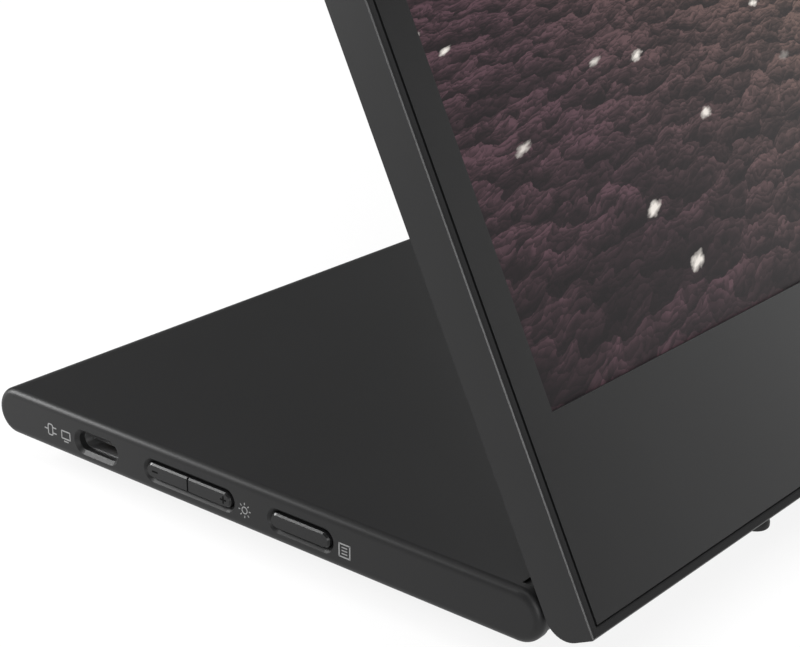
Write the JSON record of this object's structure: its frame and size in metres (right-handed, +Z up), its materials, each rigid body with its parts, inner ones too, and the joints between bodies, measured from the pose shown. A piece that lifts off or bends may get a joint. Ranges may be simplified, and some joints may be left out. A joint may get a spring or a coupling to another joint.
{
  "type": "portable monitor",
  "caption": "Slim portable monitor whose screen leans on a friction hinge along the front of a flat folding base that carries the sockets and control keys.",
  "frame": {"origin": "on the table, midway between the base's side faces and midway between its front and rear ends", "axes": "+X to the right of someone facing the screen, along the hinge; +Y to the rear of the base; +Z up"},
  "size_m": [0.3238, 0.1118, 0.196],
  "materials": {
    "casing": "fine matte texture, moulded, charcoal",
    "bezel": "fine matte texture, moulded, charcoal",
    "key_cap": "matte, moulded, charcoal",
    "foot_rubber": "matte black rubber",
    "hinge_steel": "black oxide",
    "bush_bronze": "sintered bronze",
    "screw_steel": "black zinc",
    "plate_steel": "rolled steel sheet",
    "socket_steel": "dark nickel",
    "socket_tongue": "black moulding",
    "circuit_board": "green solder mask",
    "chip": "black epoxy",
    "switch": "black moulding",
    "ribbon": "white flat cable",
    "tape": "black foam tape",
    "screen_glass": "low-gloss polariser over glass",
    "optical_film": "clear prism film",
    "light_guide": "clear acrylic",
    "reflector": "white film",
    "pan_aluminium": "plain sheet",
    "led": "white strip"
  },
  "bodies": {
    "base": {"base_top_cover": "casing", "base_bottom_cover": "casing", "ballast_plate": "plate_steel", "main_board": "circuit_board", "right_io_board": "circuit_board", "shield_can": "plate_steel", "scaler_chip": "chip", "io_cable": "ribbon", "base_cable": "ribbon", "lock_insert": "plate_steel", "base_screws": "screw_steel", "board_screws": "screw_steel", "hinge_screws": "screw_steel", "usb_c_shell_left": "socket_steel", "usb_c_shell_right": "socket_steel", "usb_c_tongue_left": "socket_tongue", "usb_c_tongue_right": "socket_tongue", "hinge_knuckle_left": "hinge_steel", "hinge_knuckle_right": "hinge_steel", "hinge_bush_left": "bush_bronze", "hinge_bush_right": "bush_bronze", "front_foot_left": "foot_rubber", "front_foot_right": "foot_rubber", "rear_foot_left": "foot_rubber", "rear_foot_right": "foot_rubber", "switch_brightness_down": "switch", "switch_brightness_up": "switch", "switch_menu": "switch", "switch_power": "switch"},
    "display": {"display_rear_cover": "casing", "front_bezel": "bezel", "bezel_tape": "tape", "lcd_cell": "screen_glass", "film_stack": "optical_film", "light_guide": "light_guide", "reflector_sheet": "reflector", "panel_pan": "pan_aluminium", "led_strip": "led", "tcon_board": "circuit_board", "display_cable": "ribbon", "tcon_screws": "screw_steel", "hinge_pin_left": "hinge_steel", "hinge_pin_right": "hinge_steel"},
    "brightness_down_key": {"brightness_down_key": "key_cap"},
    "brightness_up_key": {"brightness_up_key": "key_cap"},
    "menu_key": {"menu_key": "key_cap"},
    "power_key": {"power_key": "key_cap"}
  },
  "joints": [
    {"name": "display_hinge", "type": "hinge", "parent": "base", "child": "display", "pos_m": [0, -0.0483, 0.00835], "axis": [-1, 0, 0], "range_deg": [-31.2, 63.8]},
    {"name": "brightness_down_press", "type": "slide", "parent": "base", "child": "brightness_down_key", "axis": [1, 0, 0], "range_m": [0, 0.00035], "stiffness_N_per_m": 1500},
    {"name": "brightness_up_press", "type": "slide", "parent": "base", "child": "brightness_up_key", "axis": [1, 0, 0], "range_m": [0, 0.00035], "stiffness_N_per_m": 1500},
    {"name": "menu_press", "type": "slide", "parent": "base", "child": "menu_key", "axis": [1, 0, 0], "range_m": [0, 0.00035], "stiffness_N_per_m": 1500},
    {"name": "power_press", "type": "slide", "parent": "base", "child": "power_key", "axis": [-1, 0, 0], "range_m": [0, 0.00035], "stiffness_N_per_m": 1500}
  ]
}
